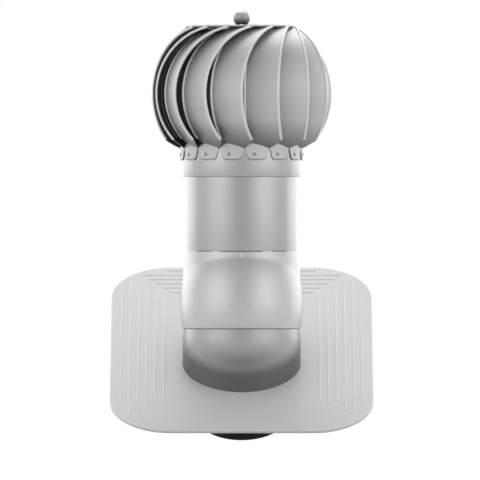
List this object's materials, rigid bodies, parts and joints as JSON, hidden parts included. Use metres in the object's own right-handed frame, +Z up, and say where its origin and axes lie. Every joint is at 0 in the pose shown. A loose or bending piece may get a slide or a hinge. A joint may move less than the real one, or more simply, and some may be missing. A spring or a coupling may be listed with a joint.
{
  "type": "rotating chimney cowl",
  "caption": "Rotating cowl of curved vanes on a stack pipe, with a tilting hood over a domed, ribbed roof plate and a duct spigot below.",
  "frame": {"origin": "where the duct spigot's axis meets the underside of the roof plate", "axes": "+Z up along the stack pipe at rest, +Y uphill, X along the roof's ridge; the plate lies at a 30 degree roof pitch"},
  "size_m": [0.35, 0.3742, 0.573],
  "materials": {
    "moulded_plate": "satin light grey moulding",
    "moulded_hood": "satin light grey moulding",
    "black_spigot": "black moulding",
    "coated_pipe": "satin light grey coating",
    "coated_sheet": "satin light grey coating",
    "coated_vane": "satin light grey coating",
    "plated_steel": "zinc plated",
    "bright_steel": "bright turned steel",
    "satin_knob": "satin steel"
  },
  "bodies": {
    "base": {"base_plate": "moulded_plate", "duct_spigot": "black_spigot", "spigot_screws": "bright_steel"},
    "stack": {"hood": "moulded_hood", "stack_pipe": "coated_pipe", "clamp_screws": "bright_steel", "clamp_washers": "bright_steel", "clamp_nuts": "bright_steel", "bearing_bracket": "plated_steel", "bearing_housing": "plated_steel", "bracket_rivets": "bright_steel", "upper_bearing_outer_ring": "bright_steel", "lower_bearing_outer_ring": "bright_steel", "upper_bearing_balls": "bright_steel", "lower_bearing_balls": "bright_steel"},
    "rotor": {"vane_01": "coated_vane", "vane_02": "coated_vane", "vane_03": "coated_vane", "vane_04": "coated_vane", "vane_05": "coated_vane", "vane_06": "coated_vane", "vane_07": "coated_vane", "vane_08": "coated_vane", "vane_09": "coated_vane", "vane_10": "coated_vane", "vane_11": "coated_vane", "vane_12": "coated_vane", "vane_13": "coated_vane", "vane_14": "coated_vane", "vane_15": "coated_vane", "top_disc": "coated_sheet", "rotor_hub": "plated_steel", "collar_ring": "coated_sheet", "collar_rivets": "bright_steel", "top_rivets": "bright_steel", "shaft": "bright_steel", "upper_bearing_inner_ring": "bright_steel", "lower_bearing_inner_ring": "bright_steel", "upper_circlip": "bright_steel", "lower_circlip": "bright_steel", "top_washer": "bright_steel", "ball_knob": "satin_knob"}
  },
  "joints": [
    {"name": "pitch_tilt", "type": "hinge", "parent": "base", "child": "stack", "pos_m": [0, -0.0182, 0.03152], "axis": [1, 0, 0], "range_deg": [-10, 25]},
    {"name": "rotor_spin", "type": "hinge", "parent": "stack", "child": "rotor", "pos_m": [0, -0.0091, 0.28], "axis": [0, 0, 1], "continuous": true}
  ]
}
